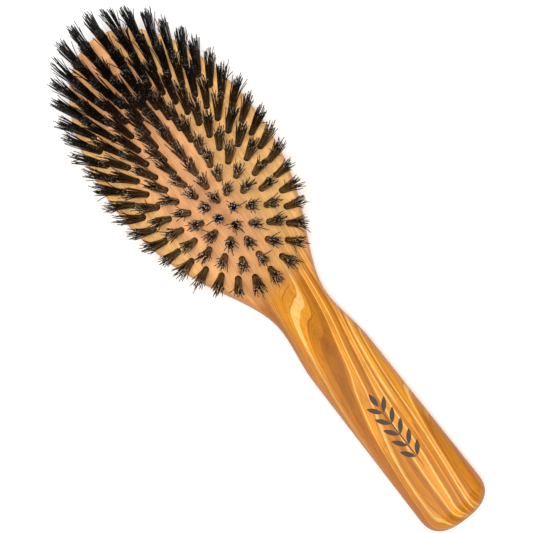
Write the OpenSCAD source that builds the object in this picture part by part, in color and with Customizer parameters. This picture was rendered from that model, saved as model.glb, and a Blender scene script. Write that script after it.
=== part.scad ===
// Wooden paddle hairbrush with natural bristle tufts.
// Each tuft is folded round a small metal anchor and pressed into its own blind hole,
// so the body, the tufts and the anchors are separate pieces.
// Frame: the flat back lies on z = 0, the bristles point up, the head's tip is towards +Y.

/* [Body] */
// Length of the body from the head's tip to the end of the handle
body_len = 225; // [195:1:280]
// Greatest width of the head
head_w = 64; // [54:1:80]
// Length from the head's tip to its widest line
head_tip_len = 60; // [52:1:72]
// Length from the widest line to the narrowest line of the neck
head_root_len = 76.5; // [64:0.5:90]
// Thickness of the head
head_t = 12; // [10:0.5:16]
// Width at the narrowest line of the neck
neck_w = 21; // [16:0.2:25]
// Length over which the neck widens into the handle
shoulder_len = 20.5; // [16:0.5:28]
// Width of the handle
handle_w = 24.8; // [21:0.2:30]
// Thickness of the handle
handle_t = 16; // [13:0.5:20]
// Length of the rounded end of the handle
handle_end_len = 9; // [7:0.5:15]

/* [Edges] */
// How far the rounded edge reaches in from the side of the head
head_edge_in = 3; // [2:0.5:4]
// Height of the rounded edge of the head
head_edge_h = 3.5; // [2:0.5:4.5]
// How far the rounded edge reaches in from the side of the handle
handle_edge_in = 6.5; // [4:0.5:7.5]
// Height of the rounded edge of the handle
handle_edge_h = 5.5; // [4:0.5:6]

/* [Tuft pattern] */
// Distance between tufts along a ring
tuft_pitch = 6.3; // [5.6:0.1:8]
// Wood left between the outer ring and the side of the head
side_margin = 6.4; // [5:0.1:9]
// Wood left between the outer ring and the head's tip
tip_margin = 10; // [9:0.5:16]
// Length of the outer ring along the head
pattern_len = 106.6; // [94:0.2:112]
// Distance between rings at their tips
ring_step_y = 7.2; // [6:0.1:8]
// Flat wood left between the outer ring and the start of the neck's rise
face_margin = 4; // [3:0.5:8]
// Number of tufts in the straight row inside the inner ring
centre_count = 7; // [3:2:7]
// Distance between the tufts of the straight row
centre_pitch = 6.8; // [5.6:0.1:8]
// Lean of a tuft for each millimetre that it stands off the centre line, in degrees
lean_x = 0.88; // [0.6:0.02:1.2]
// Lean of a tuft for each millimetre along the head from the pattern's middle, in degrees
lean_y = 0.69; // [0.4:0.01:0.8]
// Extra lean towards the tip, growing with the square of that distance, in degrees
lean_curl = 0.002; // [0:0.0005:0.003]

/* [Tufts and anchors] */
// Length of a tuft above the face
tuft_len = 17; // [10:0.5:20]
// Diameter across the bristle tips of a tuft
tuft_tip_d = 4.2; // [3.2:0.1:4.8]
// Diameter of the drilled hole
hole_d = 2.6; // [2.2:0.1:3.2]
// Depth of the drilled hole
hole_depth = 7; // [6:0.5:8]
// Clearance all round between a tuft or an anchor and what it sits in
fit = 0.05; // [0.03:0.01:0.1]
// Thickness of an anchor
anchor_t = 0.4; // [0.3:0.05:0.5]
// Height of an anchor
anchor_h = 3; // [2:0.5:4]
// Angle of every anchor to the width of the brush, in degrees
anchor_turn = 25; // [10:1:40]

/* [Hidden] */

// Oval rings of tufts: NODES names one right and one left row for each
rings = 4;
inner_power = 1.7;
outer_power = 2.15;

// Places along the body
tip_y = body_len / 2;
head_y = tip_y - head_tip_len;
neck_y = head_y - head_root_len;
shoulder_y = neck_y - shoulder_len;
end_y = -body_len / 2;
pattern_y = tip_y - tip_margin - pattern_len / 2;

// Shape of the outline
head_power = 2.05;
end_power = 2.6;
root_pull_head = 42.5;
root_pull_neck = 21;
tip_steps = 18;
root_steps = 18;
shoulder_steps = 7;
handle_steps = 8;
end_steps = 12;
first_angle = 2.5;

// Shape of the rounded edge
edge_steps = 5;

// The blank is a little too thick at the back and on the head, and is planed flat there
back_skirt = 0.5;
face_skirt = 0.2;
face_dip = 0.05;
face_ramp = 10;
face_end_y = pattern_y - ring_b(rings) - face_margin;

// Tufts
collar_h = 1;
drill_clear = 3;
tuft_root_d = hole_d - 2 * fit;
anchor_w = hole_d - 2 * fit;
ring_samples = 360;
tuft_fn = 20;

function mix(a, b, t) = a + (b - a) * t;
function ease(t) = let (u = min(max(t, 0), 1)) u * u * (3 - 2 * u);
function bezier(a, b, c, d, t) =
    a * pow(1 - t, 3) + 3 * b * pow(1 - t, 2) * t + 3 * c * (1 - t) * t * t + d * pow(t, 3);

// Right half of the outline, from the tip of the head to the end of the handle
tip_points = [for (i = [0:tip_steps])
    let (a = mix(first_angle, 90, i / tip_steps))
    [head_w / 2 * pow(sin(a), 2 / head_power),
     head_y + head_tip_len * pow(cos(a), 2 / head_power)]];
root_points = [for (i = [1:root_steps])
    let (t = i / root_steps)
    [bezier(head_w / 2, head_w / 2, neck_w / 2, neck_w / 2, t),
     bezier(head_y, head_y - root_pull_head, neck_y + root_pull_neck, neck_y, t)]];
shoulder_points = [for (i = [1:shoulder_steps])
    let (t = i / shoulder_steps)
    [mix(neck_w, handle_w, ease(t)) / 2, mix(neck_y, shoulder_y, t)]];
handle_points = [for (i = [1:handle_steps])
    [handle_w / 2, mix(shoulder_y, end_y + handle_end_len, i / handle_steps)]];
end_points = [for (i = [1:end_steps])
    let (a = mix(0, 90 - first_angle, i / end_steps))
    [handle_w / 2 * pow(cos(a), 2 / end_power),
     end_y + handle_end_len * (1 - pow(sin(a), 2 / end_power))]];
outline = concat(tip_points, root_points, shoulder_points, handle_points, end_points);
stations = len(outline);

// Direction pointing out of the outline at station i
function outward(i) =
    let (a = outline[max(i - 1, 0)], b = outline[min(i + 1, stations - 1)],
         d = a - b, n = [d[1], -d[0]])
    n / norm(n);

// The handle is thicker than the head, and its edges are rounder
function along_handle(y) = ease((face_end_y - y) / (face_end_y - shoulder_y));
function thickness(y) = mix(head_t - face_dip, handle_t, along_handle(y))
    + (face_dip + face_skirt) * ease((y - face_end_y) / face_ramp);
function edge_in(y) = mix(head_edge_in, handle_edge_in, along_handle(y));
function edge_h(y) = mix(head_edge_h, handle_edge_h, along_handle(y));

// One section from the back up to the face, as [distance in from the outline, height]
function section(y) =
    let (w = edge_in(y), h = edge_h(y), t = thickness(y))
    concat([[w, -back_skirt]],
        [for (i = [0:edge_steps]) let (a = 90 * i / edge_steps) [w * (1 - sin(a)), h * (1 - cos(a))]],
        [for (i = [0:edge_steps]) let (a = 90 * i / edge_steps) [w * (1 - cos(a)), t - h * (1 - sin(a))]]);

module blank() {
    rows = len(section(0));
    right = [for (i = [0:stations - 1]) let (p = outline[i], n = outward(i))
        for (s = section(p[1])) [p[0] - n[0] * s[0], p[1] - n[1] * s[0], s[1]]];
    left = [for (p = right) [-p[0], p[1], p[2]]];
    half = len(right);
    top = rows - 1;
    last = (stations - 1) * rows;
    sides = [for (i = [0:stations - 2]) for (k = [0:top - 1])
        let (a = i * rows + k, b = a + rows)
        for (f = [[b, b + 1, a + 1, a], [half + a, half + a + 1, half + b + 1, half + b]]) f];
    covers = [for (i = [0:stations - 2])
        let (a = i * rows, b = a + rows)
        for (f = [[half + a + top, a + top, b + top, half + b + top],
                  [half + b, b, a, half + a]]) f];
    ends = [for (k = [0:top - 1])
        for (f = [[k, k + 1, half + k + 1, half + k],
                  [half + last + k, half + last + k + 1, last + k + 1, last + k]]) f];
    polyhedron(points = concat(right, left), faces = concat(sides, covers, ends), convexity = 6);
}

// Rings of tufts: ring r is an oval of half-width ring_a(r) and half-length ring_b(r)
function bulge(u, r) = sign(u) * pow(abs(u), 2 / mix(inner_power, outer_power, (r - 1) / (rings - 1)));
function ring_a(r) = (head_w / 2 - side_margin) * r / rings;
function ring_b(r) = pattern_len / 2 - ring_step_y * (rings - r);
function ring_at(r, a) = [ring_a(r) * bulge(sin(a), r), pattern_y - ring_b(r) * bulge(cos(a), r)];
function ring_lengths(r) =
    let (step = 360 / ring_samples)
    [for (i = 0, sum = 0; i <= ring_samples;
          sum = sum + norm(ring_at(r, (i + 1) * step) - ring_at(r, i * step)), i = i + 1)
        [sum, i * step]];

// Places of the tufts of ring r on one side: side is 1 for right and -1 for left.
// A ring's first tuft is on the centre line, at its handle end, and belongs to centre_row.
function side_row(r, side) =
    let (t = ring_lengths(r), full = t[ring_samples][0], n = floor(full / tuft_pitch / 2))
    [for (j = [1:n]) let (p = ring_at(r, lookup(full * j / (2 * n + 1), t))) [side * p[0], p[1]]];
centre_row = concat(
    [for (i = [0:centre_count - 1]) [0, pattern_y + (i - (centre_count - 1) / 2) * centre_pitch]],
    [for (r = [1:rings]) ring_at(r, 0)]);

// Lean of the tuft at place p, as [angle from upright, direction], and the farthest +Y of its tip
function lean_of(p) =
    let (y = p[1] - pattern_y, l = [lean_x * p[0], lean_y * y + lean_curl * pow(y, 2)])
    [norm(l), atan2(l[1], l[0])];
function reach_of(p) =
    let (l = lean_of(p), along = sin(l[0]) * sin(l[1]))
    p[1] + tuft_len * along + tuft_tip_d / 2 * sqrt(1 - pow(along, 2));

// The tufts reach past the head's tip, so everything moves back by half of that to stay centred
overhang = max(0, max([for (p = side_row(rings, 1)) reach_of(p)]) - tip_y);
module centred() translate([0, -overhang / 2, 0]) children();

// Puts a child, drawn along +Z from the face, at place p with the lean it has there.
// All are turned the same way about their own axes, as a filling machine sets them.
module lean_at(p) {
    lean = lean_of(p);
    translate([p[0], p[1], head_t]) rotate([0, lean[0], lean[1]])
        rotate([0, 0, anchor_turn - lean[1]]) children();
}

module hole() {
    translate([0, 0, -hole_depth]) cylinder(d = hole_d, h = hole_depth + drill_clear, $fn = tuft_fn);
}

module anchor() {
    translate([-anchor_w / 2, -anchor_t / 2, -hole_depth]) cube([anchor_w, anchor_t, anchor_h]);
}

module tuft() {
    slot_t = anchor_t + 2 * fit;
    difference() {
        union() {
            translate([0, 0, fit - hole_depth])
                cylinder(d = tuft_root_d, h = hole_depth - fit + collar_h, $fn = tuft_fn);
            translate([0, 0, collar_h])
                cylinder(d1 = tuft_root_d, d2 = tuft_tip_d, h = tuft_len - collar_h, $fn = tuft_fn);
        }
        translate([-hole_d / 2, -slot_t / 2, -hole_depth - fit])
            cube([hole_d, slot_t, anchor_h + 2 * fit]);
    }
}

module holes(places) {
    for (p = places) lean_at(p) hole();
}

module planed_blank() {
    difference() {
        blank();
        translate([-head_w, -body_len, -2 * back_skirt]) cube([2 * head_w, 2 * body_len, 2 * back_skirt]);
        translate([-head_w, face_end_y, head_t]) cube([2 * head_w, body_len, 2 * face_skirt]);
    }
}

module brush_body() {
    color("#e8a552") centred() difference() {
        planed_blank();
        holes(centre_row);
        for (r = [1:rings]) for (side = [-1, 1]) holes(side_row(r, side));
    }
}

module bristle_row(places) {
    color("#1c1714") centred() for (p = places) lean_at(p) tuft();
}

module anchor_row(places) {
    color("#c9a24a") centred() for (p = places) lean_at(p) anchor();
}

brush_body();
bristle_row(centre_row);  // bristle_row_centre
bristle_row(side_row(1, 1));  // bristle_row_right_1
bristle_row(side_row(2, 1));  // bristle_row_right_2
bristle_row(side_row(3, 1));  // bristle_row_right_3
bristle_row(side_row(4, 1));  // bristle_row_right_4
bristle_row(side_row(1, -1));  // bristle_row_left_1
bristle_row(side_row(2, -1));  // bristle_row_left_2
bristle_row(side_row(3, -1));  // bristle_row_left_3
bristle_row(side_row(4, -1));  // bristle_row_left_4
anchor_row(centre_row);  // anchor_row_centre
anchor_row(side_row(1, 1));  // anchor_row_right_1
anchor_row(side_row(2, 1));  // anchor_row_right_2
anchor_row(side_row(3, 1));  // anchor_row_right_3
anchor_row(side_row(4, 1));  // anchor_row_right_4
anchor_row(side_row(1, -1));  // anchor_row_left_1
anchor_row(side_row(2, -1));  // anchor_row_left_2
anchor_row(side_row(3, -1));  // anchor_row_left_3
anchor_row(side_row(4, -1));  // anchor_row_left_4
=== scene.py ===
"""Wooden paddle hairbrush: olive-wood body, rows of boar-bristle tufts, their anchors and a pale table."""

import math
import random

import bmesh
import bpy
import numpy as np
from bpy.props import FloatProperty, FloatVectorProperty, IntProperty, PointerProperty
from mathutils import Matrix, Vector


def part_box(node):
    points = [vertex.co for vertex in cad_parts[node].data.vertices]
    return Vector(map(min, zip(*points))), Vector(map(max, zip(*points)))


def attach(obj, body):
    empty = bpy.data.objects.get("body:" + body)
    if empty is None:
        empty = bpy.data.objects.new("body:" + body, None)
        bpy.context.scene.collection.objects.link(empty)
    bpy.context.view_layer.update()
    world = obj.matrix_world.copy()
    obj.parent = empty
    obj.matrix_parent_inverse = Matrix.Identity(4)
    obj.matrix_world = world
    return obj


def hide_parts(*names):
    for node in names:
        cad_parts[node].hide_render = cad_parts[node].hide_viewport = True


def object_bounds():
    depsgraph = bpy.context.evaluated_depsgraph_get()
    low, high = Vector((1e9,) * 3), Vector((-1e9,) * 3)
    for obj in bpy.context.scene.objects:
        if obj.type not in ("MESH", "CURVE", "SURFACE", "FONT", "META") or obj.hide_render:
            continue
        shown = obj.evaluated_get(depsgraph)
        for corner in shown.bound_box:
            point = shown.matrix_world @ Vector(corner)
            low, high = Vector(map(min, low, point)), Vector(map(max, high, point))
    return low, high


bl_info = {
    "name": "Wooden paddle hairbrush",
    "version": (1, 0, 0),
    "blender": (4, 5, 0),
    "location": "View3D > Sidebar > Hairbrush",
    "description": "Builds an olive-wood hairbrush with boar-bristle tufts around its packed model",
    "category": "Add Mesh",
}

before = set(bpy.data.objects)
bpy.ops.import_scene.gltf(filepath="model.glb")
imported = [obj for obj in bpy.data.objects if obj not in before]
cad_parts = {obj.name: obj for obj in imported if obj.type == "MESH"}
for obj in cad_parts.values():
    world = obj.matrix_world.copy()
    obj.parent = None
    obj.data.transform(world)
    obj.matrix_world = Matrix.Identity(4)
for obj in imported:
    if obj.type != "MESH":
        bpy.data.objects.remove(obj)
CAD_BOX = [list(corner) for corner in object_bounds()]
BODY_LOW, BODY_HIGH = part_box("brush_body")

MM = 0.001
ROOT = "root"
BRISTLE_ROWS = sorted(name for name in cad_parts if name.startswith("bristle_row"))
ANCHOR_ROWS = sorted(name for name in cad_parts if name.startswith("anchor_row"))


# Numbers and colours

def mix(a, b, t):
    return a + (b - a) * t


def ease(t):
    """Goes from 0 to 1 with a level start and end."""
    t = min(max(t, 0.0), 1.0)
    return t * t * (3 - 2 * t)


def bezier(a, b, c, d, t):
    s = 1 - t
    return a * s ** 3 + 3 * b * s * s * t + 3 * c * s * t * t + d * t ** 3


def srgb(code, alpha=None):
    """Turns an sRGB hex code into the linear colour that shaders use."""
    parts = [int(code[i:i + 2], 16) / 255 for i in (1, 3, 5)]
    linear = [p / 12.92 if p <= 0.04045 else ((p + 0.055) / 1.055) ** 2.4 for p in parts]
    return (*linear, alpha) if alpha is not None else tuple(linear)


# Frame measurements

def face_height():
    """Height of the flat face that the tufts stand on: the body's highest point on the head."""
    return max(v.co.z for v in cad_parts["brush_body"].data.vertices if v.co.y > 0)


def islands(bm):
    """Groups the vertices of a mesh into its separate solids."""
    left = set(bm.verts)
    groups = []
    for start in bm.verts:
        if start not in left:
            continue
        left.discard(start)
        group, edge_of_search = [start], [start]
        while edge_of_search:
            vert = edge_of_search.pop()
            for edge in vert.link_edges:
                other = edge.other_vert(vert)
                if other in left:
                    left.discard(other)
                    group.append(other)
                    edge_of_search.append(other)
        groups.append(group)
    return groups


def tuft_axes(node):
    """Where each tuft of a row leaves the face, which way it points and how long it is above the face."""
    bm = bmesh.new()
    bm.from_mesh(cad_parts[node].data)
    bmesh.ops.remove_doubles(bm, verts=bm.verts, dist=0.001 * MM)
    face_z = face_height()
    axes = []
    for group in islands(bm):
        points = np.array([v.co for v in group])
        spread = points - points.mean(axis=0)
        direction = np.linalg.svd(spread, full_matrices=False)[2][0]
        direction = direction * np.sign(direction[2])
        along = points @ direction
        low = Vector(points[along < along.min() + 0.01 * MM].mean(axis=0))
        high = Vector(points[along > along.max() - 0.01 * MM].mean(axis=0))
        axis = (high - low).normalized()
        root = low + axis * ((face_z - low.z) / axis.z)
        axes.append((root, axis, (high - root).length))
    bm.free()
    return sorted(axes, key=lambda a: (round(a[0].y, 6), round(a[0].x, 6)))


# Meshes

def new_object(name, mesh):
    obj = bpy.data.objects.new(name, mesh)
    bpy.context.scene.collection.objects.link(obj)
    return obj


def mesh_object(name, bm, sharp_angle=None):
    """Turns a bmesh into a smooth-shaded object."""
    mesh = bpy.data.meshes.new(name)
    for face in bm.faces:
        face.smooth = True
    bm.to_mesh(mesh)
    bm.free()
    if sharp_angle is not None:
        mesh.set_sharp_from_angle(angle=sharp_angle)
    return new_object(name, mesh)


def baked(obj):
    """Replaces an object by a mesh object with its modifiers or its curve's thickness applied."""
    graph = bpy.context.evaluated_depsgraph_get()
    mesh = bpy.data.meshes.new_from_object(obj.evaluated_get(graph))
    name = obj.name
    bpy.data.objects.remove(obj)
    mesh.name = name
    return new_object(name, mesh)


# Shader nodes

def add(tree, kind, inputs=None, stops=None, **settings):
    """Adds one shader node with its settings, its input values or links, and its ramp's stops."""
    node = tree.nodes.new("ShaderNode" + kind)
    for key, value in settings.items():
        setattr(node, key, value)
    for key, value in (inputs or {}).items():
        if isinstance(value, bpy.types.NodeSocket):
            tree.links.new(value, node.inputs[key])
        else:
            node.inputs[key].default_value = value
    if stops:
        elements = node.color_ramp.elements
        while len(elements) > len(stops):
            elements.remove(elements[-1])
        while len(elements) < len(stops):
            elements.new(1.0)
        for element, (position, colour) in zip(elements, stops):
            element.position = position
            element.color = colour
    return node


def new_material(name):
    """An empty node material with its output and one principled shader joined."""
    material = bpy.data.materials.new(name)
    material.use_nodes = True
    tree = material.node_tree
    tree.nodes.clear()
    shader = add(tree, "BsdfPrincipled")
    add(tree, "OutputMaterial", {"Surface": shader.outputs["BSDF"]})
    return material, tree, shader


def give(obj, material):
    obj.data.materials.clear()
    obj.data.materials.append(material)


# Settings

class BodySettings(bpy.types.PropertyGroup):
    """Sizes of the wooden body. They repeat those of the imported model."""

    tip_len: FloatProperty(
        name="Tip length", description="From the head's tip to its widest line",
        default=0.060, unit="LENGTH")
    root_len: FloatProperty(
        name="Root length", description="From the widest line to the neck", default=0.0765, unit="LENGTH")
    neck_w: FloatProperty(
        name="Neck width", description="Width at the narrowest line", default=0.021, unit="LENGTH")
    shoulder_len: FloatProperty(
        name="Shoulder length", description="From the neck to the full handle",
        default=0.0205, unit="LENGTH")
    handle_w: FloatProperty(
        name="Handle width", description="Width of the handle", default=0.0248, unit="LENGTH")
    end_len: FloatProperty(
        name="End length", description="Length of the handle's rounded end", default=0.009, unit="LENGTH")
    head_edge_in: FloatProperty(
        name="Head edge reach", description="How far the head's rounded edge reaches in",
        default=0.003, unit="LENGTH")
    head_edge_h: FloatProperty(
        name="Head edge height", description="Height of the head's rounded edge",
        default=0.0035, unit="LENGTH")
    handle_edge_in: FloatProperty(
        name="Handle edge reach", description="How far the handle's rounded edge reaches in",
        default=0.0065, unit="LENGTH")
    handle_edge_h: FloatProperty(
        name="Handle edge height", description="Height of the handle's rounded edge",
        default=0.0055, unit="LENGTH")
    face_end: FloatProperty(
        name="Face end", description="From the widest line to where the neck starts to rise",
        default=0.0606, unit="LENGTH")
    hole_d: FloatProperty(
        name="Hole diameter", description="Diameter of the drilled tuft holes",
        default=0.0026, unit="LENGTH")
    hole_depth: FloatProperty(
        name="Hole depth", description="Depth of the drilled tuft holes", default=0.007, unit="LENGTH")


class BristleSettings(bpy.types.PropertyGroup):
    """Sizes of the bristles in one tuft."""

    count: IntProperty(
        name="Bristles", description="Bristles in each tuft", default=27, min=8, max=60)
    strays: IntProperty(
        name="Strays", description="Bristles in each tuft that bend away from it", default=4, min=0, max=12)
    thickness: FloatProperty(
        name="Thickness", description="Diameter of a bristle at its root", default=0.00038, unit="LENGTH")
    root_r: FloatProperty(
        name="Root radius", description="Radius of the tuft where it leaves the wood",
        default=0.00106, unit="LENGTH")
    tip_r: FloatProperty(
        name="Tip radius", description="Radius that the bristle tips spread to",
        default=0.0020, unit="LENGTH")


class FinishSettings(bpy.types.PropertyGroup):
    """Colours of the wood, the bristles and the anchors."""

    pale: FloatVectorProperty(
        name="Pale wood", description="Palest bands of the figure", subtype="COLOR",
        default=srgb("#E4B060"))
    honey: FloatVectorProperty(
        name="Honey wood", description="Ground colour", subtype="COLOR", default=srgb("#CE841C"))
    amber: FloatVectorProperty(
        name="Amber wood", description="Warm bands of the figure", subtype="COLOR", default=srgb("#B26C0A"))
    brown: FloatVectorProperty(
        name="Brown wood", description="Dark bands of the figure", subtype="COLOR", default=srgb("#9C5A04"))
    vein: FloatVectorProperty(
        name="Veins", description="Fine dark veins", subtype="COLOR", default=srgb("#7C4408"))
    # Partly the wood's own pinkish heart, partly painted shade that the tufts cast on the head's middle
    rose_and_tuft_shade: FloatVectorProperty(
        name="Rose wood", description="Pinkish heart of the head", subtype="COLOR", default=srgb("#F0A872"))
    gold: FloatVectorProperty(
        name="Golden wood", description="Quiet ground of the head", subtype="COLOR",
        default=srgb("#FFC57C"))
    # Painted shade: darker, redder colour for faces turning away from the top and for the handle's left
    # edge
    side: FloatVectorProperty(
        name="Cut sides", description="Rounded sides and the end grain", subtype="COLOR",
        default=srgb("#AC6C40"))
    bristle: FloatVectorProperty(
        name="Bristle", description="Dyed bristle", subtype="COLOR", default=srgb("#050505"))
    # Painted reflection: brown of the warm wood reflected in the bristles near their roots
    bristle_root_reflection: FloatVectorProperty(
        name="Bristle root", description="Brown of the bristle near the wood", subtype="COLOR",
        default=srgb("#100C0A"))
    # Painted highlight: the light that the cut tips catch, given as a pale colour
    bristle_tip_glint: FloatVectorProperty(
        name="Bristle tip", description="Pale horn of the cut tips", subtype="COLOR",
        default=srgb("#857C74"))
    anchor: FloatVectorProperty(
        name="Anchor", description="Drawn brass strip", subtype="COLOR", default=srgb("#C9A45C"))
    burnt: FloatVectorProperty(
        name="Burnt mark", description="Engraved ornament", subtype="COLOR", default=srgb("#3A2A22"))
    table: FloatVectorProperty(
        name="Table", description="Pale table top", subtype="COLOR", default=srgb("#F4F3F1"))


class StageSettings(bpy.types.PropertyGroup):
    """Camera and lights."""

    distance: FloatProperty(
        name="Camera distance", description="From the camera to the point it looks at",
        default=0.395, unit="LENGTH")
    tilt: FloatProperty(
        name="Tilt", description="Lean of the camera towards the handle", default=math.radians(14.8),
        subtype="ANGLE")
    roll: FloatProperty(
        name="Roll", description="Turn of the brush in the view", default=math.radians(37.98),
        subtype="ANGLE")
    lens: FloatProperty(name="Lens", description="Focal length in millimetres", default=74.8)
    look_x: FloatProperty(
        name="Look at X", description="Point looked at, across the brush", default=-0.0006, unit="LENGTH")
    look_y: FloatProperty(
        name="Look at Y", description="Point looked at, along the brush", default=-0.0035, unit="LENGTH")


SETTINGS = {
    "hairbrush_body": BodySettings,
    "hairbrush_bristles": BristleSettings,
    "hairbrush_finish": FinishSettings,
    "hairbrush_stage": StageSettings,
}


# Wooden body

HEAD_POWER = 2.05
END_POWER = 2.6
ROOT_PULL_HEAD = 42.5 * MM
ROOT_PULL_NECK = 21 * MM
FIRST_ANGLE = math.radians(1.2)
TIP_STEPS, ROOT_STEPS, SHOULDER_STEPS, HANDLE_STEPS, END_STEPS = 44, 48, 18, 24, 30
EDGE_STEPS = 10
CROWN_CUTS = 7
HANDLE_CROWN = 0.5 * MM


def body_outline(size):
    """Right half of the outline, from the head's tip to the end of the handle."""
    half = (BODY_HIGH.x - BODY_LOW.x) / 2
    head_y = BODY_HIGH.y - size.tip_len
    neck_y = head_y - size.root_len
    shoulder_y = neck_y - size.shoulder_len
    neck, handle = size.neck_w / 2, size.handle_w / 2
    points = []
    for i in range(TIP_STEPS + 1):
        a = mix(FIRST_ANGLE, math.pi / 2, i / TIP_STEPS)
        x, y = (f(a) ** (2 / HEAD_POWER) if f(a) > 0 else 0.0 for f in (math.sin, math.cos))
        points.append(Vector((half * x, head_y + size.tip_len * y)))
    for i in range(1, ROOT_STEPS + 1):
        t = i / ROOT_STEPS
        points.append(Vector((
            bezier(half, half, neck, neck, t),
            bezier(head_y, head_y - ROOT_PULL_HEAD, neck_y + ROOT_PULL_NECK, neck_y, t))))
    for i in range(1, SHOULDER_STEPS + 1):
        t = i / SHOULDER_STEPS
        points.append(Vector((mix(neck, handle, ease(t)), mix(neck_y, shoulder_y, t))))
    for i in range(1, HANDLE_STEPS + 1):
        points.append(Vector((handle, mix(shoulder_y, BODY_LOW.y + size.end_len, i / HANDLE_STEPS))))
    for i in range(1, END_STEPS + 1):
        a = mix(0, math.pi / 2 - FIRST_ANGLE, i / END_STEPS)
        x, y = (f(a) ** (2 / END_POWER) for f in (math.cos, math.sin))
        points.append(Vector((handle * x, BODY_LOW.y + size.end_len * (1 - y))))
    return points


def along_handle(size, y):
    """0 on the head, 1 on the full handle, with a smooth rise through the neck."""
    start = BODY_HIGH.y - size.tip_len - size.face_end
    end = BODY_HIGH.y - size.tip_len - size.root_len - size.shoulder_len
    return ease((start - y) / (start - end))


def crown_height(size, y):
    """Rise of the handle's top at its middle: none on the head, and none at the handle's rounded end."""
    from_end = (y - BODY_LOW.y - size.handle_edge_in) / (12 * MM)
    return HANDLE_CROWN * along_handle(size, y) * ease(from_end)


def edge_profile(size, y):
    """The rounded edge at one station, from the back up to the face, as (distance in, height)."""
    t = along_handle(size, y)
    reach = mix(size.head_edge_in, size.handle_edge_in, t)
    rise = mix(size.head_edge_h, size.handle_edge_h, t)
    top = mix(face_height(), BODY_HIGH.z - HANDLE_CROWN, t)
    turns = [math.pi / 2 * i / EDGE_STEPS for i in range(EDGE_STEPS + 1)]
    lower = [(reach * (1 - math.sin(a)), rise * (1 - math.cos(a))) for a in turns]
    upper = [(reach * (1 - math.cos(a)), top - rise * (1 - math.sin(a))) for a in turns]
    return lower + upper


def close_across(bm, loop, place, count):
    """Closes an end loop by joining its right half to its left half, and returns the edges across."""
    right = [e for e in loop if all(v[place] < count for v in e.verts)]
    left = [e for e in loop if all(v[place] >= count for v in e.verts)]
    bmesh.ops.bridge_loops(bm, edges=right + left)
    ends = {v for e in loop for v in e.verts}
    return [e for e in bm.edges if set(e.verts) <= ends and sum(v[place] for v in e.verts) == 2 * count - 1]


def body_shape(size):
    """Outline loop, raised and drawn in step by step to the rounded edge, then closed across."""
    right = body_outline(size)
    count = len(right)
    outward = []
    for i in range(count):
        run = right[max(i - 1, 0)] - right[min(i + 1, count - 1)]
        outward.append(Vector((run.y, -run.x)).normalized())
    profiles = [edge_profile(size, p.y) for p in right]

    def station(index):
        return (index, 1) if index < count else (2 * count - 1 - index, -1)

    def put(verts, step):
        for v in verts:
            i, side = station(v[place])
            inset, height = profiles[i][step]
            flat = right[i] - outward[i] * inset
            v.co = (side * flat.x, flat.y, height)

    bm = bmesh.new()
    place = bm.verts.layers.int.new("place")
    bmesh.ops.create_circle(bm, segments=2 * count, radius=1.0)
    bm.verts.ensure_lookup_table()
    for i, v in enumerate(bm.verts):
        v[place] = i
    put(bm.verts, 0)
    first = loop = list(bm.edges)
    for step in range(1, len(profiles[0])):
        grown = bmesh.ops.extrude_edge_only(bm, edges=loop)["geom"]
        fresh = {g for g in grown if isinstance(g, bmesh.types.BMVert)}
        loop = [g for g in grown if isinstance(g, bmesh.types.BMEdge) and set(g.verts) <= fresh]
        put(fresh, step)
    close_across(bm, first, place, count)
    rim = {v for e in loop for v in e.verts}
    across = close_across(bm, loop, place, count)
    halves = {round(v.co.y, 7): abs(v.co.x) for v in rim}
    cut = bmesh.ops.subdivide_edges(bm, edges=across, cuts=CROWN_CUTS, use_grid_fill=True)
    for v in {g for g in cut["geom_inner"] if isinstance(g, bmesh.types.BMVert)} - rim:
        half = halves.get(round(v.co.y, 7))
        if half:
            v.co.z += crown_height(size, v.co.y) * (1 - (v.co.x / half) ** 2)
    bmesh.ops.recalc_face_normals(bm, faces=bm.faces)
    return bm


def hole_cutters(size):
    """One cylinder for each drilled hole, from its blind end to clear of the face."""
    bm = bmesh.new()
    clear = 2 * MM
    for row in BRISTLE_ROWS:
        for root, axis, _ in tuft_axes(row):
            turn = axis.to_track_quat("Z", "Y").to_matrix().to_4x4()
            middle = root + axis * (clear - size.hole_depth) / 2
            bmesh.ops.create_cone(
                bm, cap_ends=True, segments=20, radius1=size.hole_d / 2, radius2=size.hole_d / 2,
                depth=size.hole_depth + clear, matrix=Matrix.Translation(middle) @ turn)
    return bm


# Wood figure. Places and lengths in it are in millimetres.

PITH_X, PITH_Z = -58.0, -22.0
GRAIN_TURN, GRAIN_LEAN = math.radians(6.0), math.radians(2.5)
FLAME_PULL, WANDER_PULL = 12.0, 10.0
LOW_HANDLE = {"From Min": -66.0, "From Max": -84.0}
LOWER_RIGHT = {"From Min": -5.0, "From Max": 9.0, "To Min": 0.01, "To Max": 0.085}
# Where the painted shade on the handle's left rounded edge fades in, across the brush in mm
LEFT_EDGE_SHADE = {"From Min": -6.5, "From Max": -9.0, "To Min": 0.0, "To Max": 0.45}
BELOW_HEAD = {"From Min": 4.0, "From Max": -14.0}
ON_HEAD = {"From Min": -16.0, "From Max": 12.0, "To Max": 0.75}
HEART_LEFT = 6.0
HEART = {"From Min": 17.0, "From Max": 9.0}


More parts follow.
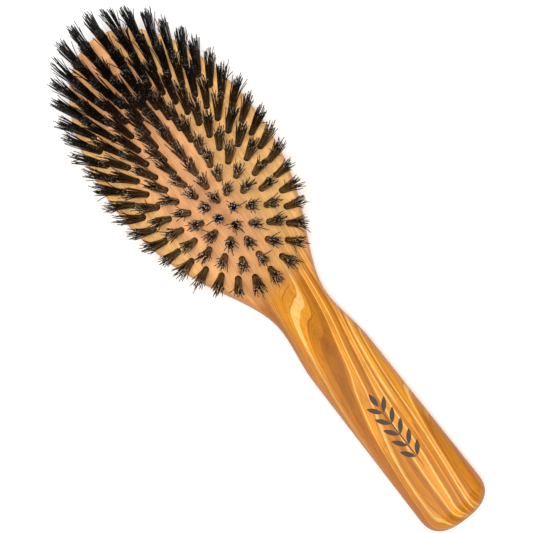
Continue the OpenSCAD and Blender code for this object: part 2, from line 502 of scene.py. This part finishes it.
def growth_rings(tree, mm):
    """Coordinates bent by a slow wander and by drawn-out flames, and their distance from the pith."""
    board = add(tree, "Mapping", {"Vector": mm, "Rotation": (0, 0, GRAIN_TURN)}).outputs["Vector"]
    slow = add(tree, "Mapping", {
        "Vector": board, "Scale": (0.030, 0.0075, 0.030), "Location": (3.1, 5.4, 0.6)})
    wander = add(tree, "TexNoise", {"Vector": slow.outputs["Vector"], "Scale": 1.0, "Detail": 1.0})
    narrow = add(tree, "Mapping", {
        "Vector": board, "Scale": (0.11, 0.011, 0.05), "Location": (4.7, 1.3, 2.0)})
    flames = add(tree, "TexNoise", {
        "Vector": narrow.outputs["Vector"], "Scale": 1.0, "Detail": 0.6, "Roughness": 0.4})
    drawn = add(tree, "VectorMath", {
        0: flames.outputs["Color"], 1: (FLAME_PULL, 0, FLAME_PULL), 2: board}, operation="MULTIPLY_ADD")
    bent = add(tree, "VectorMath", {
        0: wander.outputs["Color"], 1: (WANDER_PULL, 0, WANDER_PULL), 2: drawn.outputs["Vector"]},
        operation="MULTIPLY_ADD").outputs["Vector"]
    leaned = add(tree, "Mapping", {
        "Vector": bent, "Location": (-PITH_X, 0, -PITH_Z), "Rotation": (0, 0, GRAIN_LEAN)})
    flat = add(tree, "VectorMath", {0: leaned.outputs["Vector"], 1: (1, 0, 1)}, operation="MULTIPLY")
    ring = add(tree, "VectorMath", {0: flat.outputs["Vector"]}, operation="LENGTH")
    return bent, ring.outputs["Value"]


def bands_and_veins(tree, finish, mm, place, ring):
    """Clear-edged bands 1 to 5 mm wide, darker at the handle's lower right, and veins under 1 mm wide."""
    bands = add(tree, "TexNoise", {"W": ring, "Scale": 0.19, "Detail": 1.8, "Roughness": 0.6},
                noise_dimensions="1D")
    right = add(tree, "MapRange", {"Value": place.outputs["X"], **LOWER_RIGHT})
    low = add(tree, "MapRange", {"Value": place.outputs["Y"], **LOW_HANDLE})
    darker = add(tree, "Math", {0: right.outputs["Result"], 1: low.outputs["Result"]},
                 operation="MULTIPLY")
    tone = add(tree, "Math", {0: bands.outputs["Fac"], 1: darker.outputs["Value"]}, operation="SUBTRACT")
    pale, honey, amber, brown = (tuple(c) + (1.0,) for c in (
        finish.pale, finish.honey, finish.amber, finish.brown))
    ground = add(tree, "ValToRGB", {"Fac": tone.outputs["Value"]}, stops=[
        (0.37, brown), (0.38, amber), (0.437, amber), (0.444, brown), (0.450, brown), (0.457, honey),
        (0.50, honey), (0.51, pale), (0.555, pale), (0.565, amber), (0.575, honey), (0.63, honey)])

    veins = add(tree, "TexNoise", {"W": ring, "Scale": 0.8, "Detail": 1.5, "Roughness": 0.7},
                noise_dimensions="1D")
    thin = add(tree, "ValToRGB", {"Fac": veins.outputs["Fac"]},
               stops=[(0.58, (0, 0, 0, 1)), (0.60, (1, 1, 1, 1)), (0.62, (0, 0, 0, 1))])
    wide = add(tree, "Mapping", {
        "Vector": mm, "Scale": (0.055, 0.022, 0.055), "Location": (9.0, 2.2, 0)})
    patch = add(tree, "TexNoise", {"Vector": wide.outputs["Vector"], "Scale": 1.0, "Detail": 1.0})
    where = add(tree, "MapRange", {"Value": patch.outputs["Fac"], "From Min": 0.42, "From Max": 0.60,
                                   "To Min": 0.0, "To Max": 0.6})
    strength = add(tree, "Math", {0: thin.outputs["Color"], 1: where.outputs["Result"]},
                   operation="MULTIPLY")
    veined = add(tree, "Mix", {0: strength.outputs["Value"], 6: ground.outputs["Color"],
                               7: tuple(finish.vein) + (1.0,)}, data_type="RGBA")
    return veined.outputs["Result"]


def tinted_zones(tree, finish, place, wood):
    """A redder strip down the handle's left side, painted shade on the edge that turns from the light,
    and a quieter, golden head whose pinkish heart is partly the wood's tone and partly painted shade.
    """
    # Painted shade: the left rounded edge of the neck and handle, turned from the light, takes the side
    # colour
    strip = add(tree, "MapRange", {"Value": place.outputs["X"], **LEFT_EDGE_SHADE})
    neck = add(tree, "MapRange", {"Value": place.outputs["Y"], **BELOW_HEAD})
    left_shade_mask = add(tree, "Math", {0: strip.outputs["Result"], 1: neck.outputs["Result"]},
                 operation="MULTIPLY")
    left_shaded = add(tree, "Mix", {0: left_shade_mask.outputs["Value"], 6: wood,
                                 7: tuple(finish.side) + (1.0,)}, data_type="RGBA")
    up_head = add(tree, "MapRange", {"Value": place.outputs["Y"], **ON_HEAD})
    golden = add(tree, "Mix", {0: up_head.outputs["Result"], 6: left_shaded.outputs["Result"],
                               7: tuple(finish.gold) + (1.0,)}, data_type="RGBA")
    # Pinkish heart of the head: partly the wood's tone, partly painted shade from the tufts
    off_heart = add(tree, "Math", {0: place.outputs["X"], 1: HEART_LEFT}, operation="ADD")
    in_heart = add(tree, "Math", {0: off_heart.outputs["Value"]}, operation="ABSOLUTE")
    heart = add(tree, "MapRange", {"Value": in_heart.outputs["Value"], **HEART})
    heart_shade_mask = add(tree, "Math", {0: up_head.outputs["Result"], 1: heart.outputs["Result"]},
               operation="MULTIPLY")
    toned = add(tree, "Mix", {0: heart_shade_mask.outputs["Value"], 6: golden.outputs["Result"],
                              7: tuple(finish.rose_and_tuft_shade) + (1.0,)}, data_type="RGBA")
    return toned.outputs["Result"]


def olive_wood(finish):
    """Oiled olive wood, sawn flat and fine-sanded: honey ground, amber and brown flames, dark veins.

    The figure follows the growth rings, whose pith runs beside the board and leans a little against
    it. Bent by noise that is long in the grain's direction, they draw out into flames on the handle.
    """
    material, tree, shader = new_material("olive_wood")
    object_place = add(tree, "TexCoord").outputs["Object"]
    mm = add(tree, "Mapping", {"Vector": object_place, "Scale": (1000, 1000, 1000)}).outputs["Vector"]
    place = add(tree, "SeparateXYZ", {"Vector": mm})
    bent, ring = growth_rings(tree, mm)
    toned = tinted_zones(tree, finish, place, bands_and_veins(tree, finish, mm, place, ring))

    # Fibres of about 0.4 mm and streaks of about 2 mm, drawn out along the grain, and short dark pores
    fibre_place = add(tree, "Mapping", {"Vector": bent, "Scale": (2.0, 0.07, 2.0)})
    fibre = add(tree, "TexNoise", {"Vector": fibre_place.outputs["Vector"], "Scale": 1.0, "Detail": 3.0,
                                   "Roughness": 0.6})
    grain = add(tree, "MapRange", {"Value": fibre.outputs["Fac"], "From Min": 0.3, "From Max": 0.7,
                                   "To Min": 0.84, "To Max": 1.10})
    streak_place = add(tree, "Mapping", {"Vector": bent, "Scale": (0.36, 0.022, 0.36)})
    streak = add(tree, "TexNoise", {
        "Vector": streak_place.outputs["Vector"], "Scale": 1.0, "Detail": 2.0})
    streaks = add(tree, "MapRange", {"Value": streak.outputs["Fac"], "From Min": 0.3, "From Max": 0.7,
                                     "To Min": 0.82, "To Max": 1.12})
    pore_place = add(tree, "Mapping", {"Vector": mm, "Scale": (2.6, 0.24, 2.6),
                                       "Rotation": (0, 0, math.radians(2.0))})
    pore = add(tree, "TexNoise", {"Vector": pore_place.outputs["Vector"], "Scale": 1.0, "Detail": 1.0})
    flecks = add(tree, "MapRange", {"Value": pore.outputs["Fac"], "From Min": 0.60, "From Max": 0.72,
                                    "To Min": 1.0, "To Max": 0.78})
    fine = add(tree, "Math", {0: grain.outputs["Result"], 1: flecks.outputs["Result"]},
               operation="MULTIPLY")
    shade = add(tree, "Math", {0: fine.outputs["Value"], 1: streaks.outputs["Result"]},
                operation="MULTIPLY")
    surface = add(tree, "VectorMath", {0: toned, "Scale": shade.outputs["Value"]}, operation="SCALE")

    # Faces turning away from the top take the darker, redder side colour: painted shade on the rounded
    # sides and the end grain
    normal = add(tree, "SeparateXYZ", {"Vector": add(tree, "TexCoord").outputs["Normal"]})
    upright = add(tree, "Math", {0: normal.outputs["Z"]}, operation="ABSOLUTE")
    side = add(tree, "MapRange", {"Value": upright.outputs["Value"], "From Min": 0.85, "From Max": 0.30,
                                  "To Min": 0.0, "To Max": 0.8})
    side_shaded = add(tree, "Mix", {0: side.outputs["Result"], 6: surface.outputs["Vector"],
                              7: tuple(finish.side) + (1.0,)}, data_type="RGBA")
    tree.links.new(side_shaded.outputs["Result"], shader.inputs["Base Color"])

    # Satin oil finish
    sheen = add(tree, "MapRange", {"Value": fibre.outputs["Fac"], "To Min": 0.42, "To Max": 0.58})
    tree.links.new(sheen.outputs["Result"], shader.inputs["Roughness"])
    bump = add(tree, "Bump", {"Strength": 0.3, "Distance": 0.05 * MM, "Height": fine.outputs["Value"]})
    tree.links.new(bump.outputs["Normal"], shader.inputs["Normal"])
    shader.inputs["IOR"].default_value = 1.48
    shader.inputs["Specular IOR Level"].default_value = 0.22
    return material


# How far above the face the painted reflection of the wood reaches, in millimetres
WOOD_REFLECTION_REACH = 8.0


def boar_bristle(finish):
    """Black-dyed boar bristle: glinting keratin, with painted reflection of the wood near the roots and
    painted glints at the cut tips.
    """
    material, tree, shader = new_material("boar_bristle")
    place = add(tree, "TexCoord").outputs["Object"]
    mm = add(tree, "Mapping", {"Vector": place, "Scale": (1000, 1000, 1000)}).outputs["Vector"]
    height = add(tree, "SeparateXYZ", {"Vector": mm}).outputs["Z"]
    # Painted reflection of the wood: brown on the bristles, fading out a few millimetres above the face
    low = face_height() / MM
    root = add(tree, "MapRange", {"Value": height, "From Min": low, "From Max": low + WOOD_REFLECTION_REACH,
                                  "To Min": 0.6, "To Max": 0.0})
    each = add(tree, "TexNoise", {"Vector": mm, "Scale": 1.6, "Detail": 1.0})
    uneven = add(tree, "Math", {0: root.outputs["Result"], 1: each.outputs["Fac"]}, operation="MULTIPLY")
    tint = add(tree, "Mix", {0: uneven.outputs["Value"], 6: tuple(finish.bristle) + (1.0,),
                             7: tuple(finish.bristle_root_reflection) + (1.0,)}, data_type="RGBA")
    # Painted highlight: caps facing up, as the cut tips seen end-on do, take a pale glint colour
    upward = add(tree, "SeparateXYZ", {"Vector": add(tree, "TexCoord").outputs["Normal"]})
    cut = add(tree, "MapRange", {"Value": upward.outputs["Z"], "From Min": 0.76, "From Max": 0.84})
    glinting_tips = add(tree, "Mix", {0: cut.outputs["Result"], 6: tint.outputs["Result"],
                               7: tuple(finish.bristle_tip_glint) + (1.0,)}, data_type="RGBA")
    tree.links.new(glinting_tips.outputs["Result"], shader.inputs["Base Color"])
    gloss = add(tree, "MapRange", {"Value": each.outputs["Fac"], "To Min": 0.20, "To Max": 0.36})
    tree.links.new(gloss.outputs["Result"], shader.inputs["Roughness"])
    shader.inputs["IOR"].default_value = 1.55
    return material


def drawn_brass(finish):
    """Flat brass wire, drawn and cut, so fine lines run along it."""
    material, tree, shader = new_material("drawn_brass")
    place = add(tree, "TexCoord").outputs["Object"]
    lines = add(tree, "Mapping", {"Vector": place, "Scale": (9000, 9000, 900)})
    drawn = add(tree, "TexNoise", {"Vector": lines.outputs["Vector"], "Scale": 1.0, "Detail": 2.0})
    tone = add(tree, "ValToRGB", {"Fac": drawn.outputs["Fac"]}, stops=[
        (0.3, tuple(c * 0.8 for c in finish.anchor) + (1.0,)), (0.7, tuple(finish.anchor) + (1.0,))])
    tree.links.new(tone.outputs["Color"], shader.inputs["Base Color"])
    rough = add(tree, "MapRange", {"Value": drawn.outputs["Fac"], "To Min": 0.25, "To Max": 0.45})
    tree.links.new(rough.outputs["Result"], shader.inputs["Roughness"])
    shader.inputs["Metallic"].default_value = 1.0
    return material


def burnt_wood(finish):
    """Wood charred by an engraving laser: matt, near black, a little uneven."""
    material, tree, shader = new_material("burnt_wood")
    place = add(tree, "TexCoord").outputs["Object"]
    char = add(tree, "TexNoise", {"Vector": place, "Scale": 2500.0, "Detail": 2.0})
    tone = add(tree, "ValToRGB", {"Fac": char.outputs["Fac"]}, stops=[
        (0.3, tuple(finish.burnt) + (1.0,)), (0.75, tuple(1.7 * c for c in finish.burnt) + (1.0,))])
    tree.links.new(tone.outputs["Color"], shader.inputs["Base Color"])
    shader.inputs["Roughness"].default_value = 0.8
    return material


def pale_table(finish):
    """Matt painted board, almost white."""
    material, tree, shader = new_material("pale_table")
    place = add(tree, "TexCoord").outputs["Object"]
    speck = add(tree, "TexNoise", {"Vector": place, "Scale": 60.0, "Detail": 3.0})
    tone = add(tree, "ValToRGB", {"Fac": speck.outputs["Fac"]}, stops=[
        (0.3, tuple(0.985 * c for c in finish.table) + (1.0,)), (0.7, tuple(finish.table) + (1.0,))])
    tree.links.new(tone.outputs["Color"], shader.inputs["Base Color"])
    shader.inputs["Roughness"].default_value = 0.9
    shader.inputs["Specular IOR Level"].default_value = 0.2
    return material


# Bristles

BRISTLE_POINTS = 6
SUNK = 1.5 * MM
GOLDEN_ANGLE = math.radians(137.508)
CLUMPS = 5
TRIES = 12
TIP_TAPER = 0.72
PAST_BOX = Vector((1.5, 3.0, 0.6)) * MM

# Ranges that the bristles are drawn from: sideways in millimetres, and lengths as parts of the tuft's
CLUMP_AWAY = (0.1, 0.8)
TUFT_BEND = (0, 0.9)
BEND, REACH = (0.1, 1.1), (0.88, 1.06)
STRAY_AWAY, STRAY_BEND, STRAY_REACH = (0.3, 2.2), (0.8, 2.6), (0.75, 0.98)


def bristle_line(root, axis, sideways, bend, length):
    """Points of one bristle: straight along its axis, drifting sideways evenly and bending later."""
    points = []
    for i in range(BRISTLE_POINTS):
        t = (i / (BRISTLE_POINTS - 1)) ** 0.75
        reach = mix(-SUNK, length, t)
        away = max(reach / length, 0.0)
        points.append(root + axis * reach + sideways * away + bend * away ** 3)
    return points


def tuft_lines(root, axis, length, size, rng, room):
    """All bristles of one tuft, in a few loose clumps, with some strays."""
    e1 = axis.orthogonal().normalized()
    e2 = axis.cross(e1)

    def around(angle):
        return e1 * math.cos(angle) + e2 * math.sin(angle)

    def somewhere(away):
        return around(rng.uniform(0, math.tau)) * rng.uniform(*away) * MM

    clump_start = rng.uniform(0, math.tau)
    clumps = []
    for i in range(CLUMPS):
        angle = clump_start + math.tau * i / CLUMPS + rng.uniform(-0.4, 0.4)
        clumps.append(around(angle) * rng.uniform(*CLUMP_AWAY) * MM)
    tuft_bend = somewhere(TUFT_BEND)
    lines = []
    for i in range(size.count + size.strays):
        stray = i >= size.count
        angle = i * GOLDEN_ANGLE + clump_start
        ratio = math.sqrt(((i % size.count) + 0.5) / size.count)
        start = root + around(angle) * ratio * size.root_r
        clump = clumps[int((angle - clump_start) / math.tau * CLUMPS) % CLUMPS]
        for _ in range(TRIES):
            sideways = around(angle) * ratio * (size.tip_r - size.root_r) + clump * 0.8
            bend = tuft_bend + somewhere(BEND)
            reach = length * rng.uniform(*REACH)
            if stray:
                sideways = sideways + somewhere(STRAY_AWAY)
                bend = bend + somewhere(STRAY_BEND)
                reach = length * rng.uniform(*STRAY_REACH)
            line = bristle_line(start, axis, sideways, bend, reach)
            if all(abs(line[-1][k]) < room[k] for k in range(3)):
                break
        lines.append(line)
    return lines


def bristle_row(name, size, rng, room):
    """One row of tufts as fine tapered tubes."""
    curve = bpy.data.curves.new(name, "CURVE")
    curve.dimensions = "3D"
    curve.bevel_depth = size.thickness / 2
    curve.bevel_resolution = 1
    curve.use_fill_caps = True
    taper = [mix(1.0, TIP_TAPER, (i / (BRISTLE_POINTS - 1)) ** 1.5) for i in range(BRISTLE_POINTS)]
    for root, axis, length in tuft_axes(name):
        for line in tuft_lines(root, axis, length, size, rng, room):
            spline = curve.splines.new("POLY")
            spline.points.add(BRISTLE_POINTS - 1)
            spline.points.foreach_set("co", [c for p in line for c in (*p, 1.0)])
            spline.points.foreach_set("radius", taper)
    obj = baked(new_object(name.replace("bristle_row", "bristles"), curve))
    for polygon in obj.data.polygons:
        polygon.use_smooth = True
    obj.data.set_sharp_from_angle(angle=math.radians(70))
    return obj


# Ornament, in millimetres along and across the handle

SPRIG_TOP, SPRIG_END = -62.0, -93.0
SPRIG_PAIRS = 5
LEAF_LEN, LEAF_W, LEAF_TURN = 5.6, 1.7, 38.0
TOP_LEAF_LEN, TOP_LEAF_W = 5.4, 1.8
STEM_W = 0.45
LEAF_OFF_STEM = 0.25
MARK_LIFT = 0.03 * MM


def on_crown(size, x, y):
    """Height just above the handle's crowned top at one place."""
    half = size.handle_w / 2 - size.handle_edge_in
    top = BODY_HIGH.z - HANDLE_CROWN + crown_height(size, y) * (1 - (x / half) ** 2)
    return top + MARK_LIFT


def sprig(size):
    """A stem with pairs of leaves, each a strip narrowed to points and laid on the crowned top."""
    leaves = [(0.0, SPRIG_END, 90.0, SPRIG_TOP - SPRIG_END - 5.0, STEM_W)]
    for i in range(SPRIG_PAIRS):
        y = mix(SPRIG_END + 5.0, SPRIG_TOP - 8.0, i / (SPRIG_PAIRS - 1))
        for side in (-1, 1):
            leaves.append((LEAF_OFF_STEM * side, y, 90.0 - LEAF_TURN * side, LEAF_LEN, LEAF_W))
    leaves.append((0.0, SPRIG_TOP - TOP_LEAF_LEN, 90.0, TOP_LEAF_LEN, TOP_LEAF_W))
    bm = bmesh.new()
    for x, y, way, length, width in leaves:
        grid = bmesh.ops.create_grid(bm, x_segments=12, y_segments=2, size=0.5)
        turn = Matrix.Rotation(math.radians(way), 3, "Z")
        for v in grid["verts"]:
            t = v.co.x + 0.5
            thick = width * math.sin(math.pi * t) ** 0.8 if 0 < t < 1 else 0.0
            spot = turn @ Vector((t * length, v.co.y * thick, 0)) + Vector((x, y, 0))
            v.co = Vector((spot.x * MM, spot.y * MM, 0))
            v.co.z = on_crown(size, v.co.x, v.co.y)
    return bm


# Operators

class HAIRBRUSH_OT_body(bpy.types.Operator):
    """Builds the olive-wood body with its drilled holes."""

    bl_idname = "hairbrush.body"
    bl_label = "Wooden body"

    def execute(self, context):
        size = context.scene.hairbrush_body
        body = mesh_object("wooden_body", body_shape(size))
        cutters = mesh_object("hole_cutters", hole_cutters(size))
        drill = body.modifiers.new("holes", "BOOLEAN")
        drill.operation = "DIFFERENCE"
        drill.solver = "EXACT"
        drill.object = cutters
        body = baked(body)
        bpy.data.objects.remove(cutters)
        body.data.set_sharp_from_angle(angle=math.radians(35))
        give(body, olive_wood(context.scene.hairbrush_finish))
        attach(body, ROOT)
        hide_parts("brush_body")
        return {"FINISHED"}


class HAIRBRUSH_OT_ornament(bpy.types.Operator):
    """Builds the leafy sprig burnt into the top of the handle."""

    bl_idname = "hairbrush.ornament"
    bl_label = "Handle ornament"

    def execute(self, context):
        mark = mesh_object("burnt_sprig", sprig(context.scene.hairbrush_body))
        give(mark, burnt_wood(context.scene.hairbrush_finish))
        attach(mark, ROOT)
        return {"FINISHED"}


class HAIRBRUSH_OT_bristles(bpy.types.Operator):
    """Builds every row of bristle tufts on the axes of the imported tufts."""

    bl_idname = "hairbrush.bristles"
    bl_label = "Bristle rows"

    def execute(self, context):
        size = context.scene.hairbrush_bristles
        material = boar_bristle(context.scene.hairbrush_finish)
        rng = random.Random(7)
        room = Vector(CAD_BOX[1]) + PAST_BOX
        for name in BRISTLE_ROWS:
            row = bristle_row(name, size, rng, room)
            give(row, material)
            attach(row, ROOT)
            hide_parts(name)
        return {"FINISHED"}


class HAIRBRUSH_OT_anchors(bpy.types.Operator):
    """Gives the anchors at the bottom of the holes their metal."""

    bl_idname = "hairbrush.anchors"
    bl_label = "Anchors"

    def execute(self, context):
        material = drawn_brass(context.scene.hairbrush_finish)
        for name in ANCHOR_ROWS:
            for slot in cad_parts[name].material_slots:
                slot.link = "OBJECT"
                slot.material = material
        return {"FINISHED"}


# Name, place in metres, width in metres and power in watts. The key is near the camera.
LAMPS = (
    ("key", (-0.05, -0.21, 0.92), 0.36, 8.6),
    ("fill", (0.55, 0.25, 0.75), 0.40, 1.2))


class HAIRBRUSH_OT_stage(bpy.types.Operator):
    """Sets the table, the lights and the camera."""

    bl_idname = "hairbrush.stage"
    bl_label = "Stage"

    def execute(self, context):
        scene = context.scene
        stage = scene.hairbrush_stage
        bm = bmesh.new()
        bmesh.ops.create_grid(bm, x_segments=1, y_segments=1, size=1.5)
        bmesh.ops.translate(bm, verts=bm.verts, vec=(0, 0, -0.02 * MM))
        table = mesh_object("table", bm)
        give(table, pale_table(scene.hairbrush_finish))

        world = bpy.data.worlds.new("soft_room")
        world.use_nodes = True
        world.node_tree.nodes["Background"].inputs["Color"].default_value = (1.0, 1.0, 1.0, 1.0)
        world.node_tree.nodes["Background"].inputs["Strength"].default_value = 0.50
        scene.world = world
        for name, place, side, power in LAMPS:
            lamp = bpy.data.lights.new(name, "AREA")
            lamp.shape = "SQUARE"
            lamp.size = side
            lamp.energy = power
            obj = bpy.data.objects.new(name, lamp)
            obj.location = place
            obj.rotation_euler = (-Vector(place)).to_track_quat("-Z", "Y").to_euler()
            scene.collection.objects.link(obj)

        camera = bpy.data.objects.new("camera", bpy.data.cameras.new("camera"))
        scene.collection.objects.link(camera)
        camera.data.sensor_width = 36.0
        camera.data.lens = stage.lens
        camera.data.clip_start = 0.01
        target = Vector((stage.look_x, stage.look_y, face_height()))
        back = Vector((0, -math.sin(stage.tilt), math.cos(stage.tilt)))
        up = Vector((0, math.cos(stage.tilt), math.sin(stage.tilt)))
        right = Vector((1, 0, 0))
        image_up = up * math.cos(stage.roll) + right * math.sin(stage.roll)
        image_right = right * math.cos(stage.roll) - up * math.sin(stage.roll)
        turn = Matrix((image_right, image_up, back)).transposed().to_4x4()
        camera.matrix_world = Matrix.Translation(target + back * stage.distance) @ turn
        scene.camera = camera
        scene.view_settings.view_transform = "Standard"
        return {"FINISHED"}


class HAIRBRUSH_PT_panel(bpy.types.Panel):
    """Lists the hairbrush's builders."""

    bl_label = "Hairbrush"
    bl_space_type = "VIEW_3D"
    bl_region_type = "UI"
    bl_category = "Hairbrush"

    def draw(self, context):
        for operator in OPERATORS:
            self.layout.operator(operator.bl_idname)


OPERATORS = (
    HAIRBRUSH_OT_body, HAIRBRUSH_OT_ornament, HAIRBRUSH_OT_bristles, HAIRBRUSH_OT_anchors,
    HAIRBRUSH_OT_stage)


def register():
    for cls in (*SETTINGS.values(), *OPERATORS, HAIRBRUSH_PT_panel):
        bpy.utils.register_class(cls)
    for name, cls in SETTINGS.items():
        setattr(bpy.types.Scene, name, PointerProperty(type=cls))


def unregister():
    for name in SETTINGS:
        delattr(bpy.types.Scene, name)
    for cls in reversed((*SETTINGS.values(), *OPERATORS, HAIRBRUSH_PT_panel)):
        bpy.utils.unregister_class(cls)


def main():
    register()
    bpy.ops.hairbrush.body()
    bpy.ops.hairbrush.ornament()
    bpy.ops.hairbrush.bristles()
    bpy.ops.hairbrush.anchors()
    bpy.ops.hairbrush.stage()


if __name__ == "__main__":
    main()
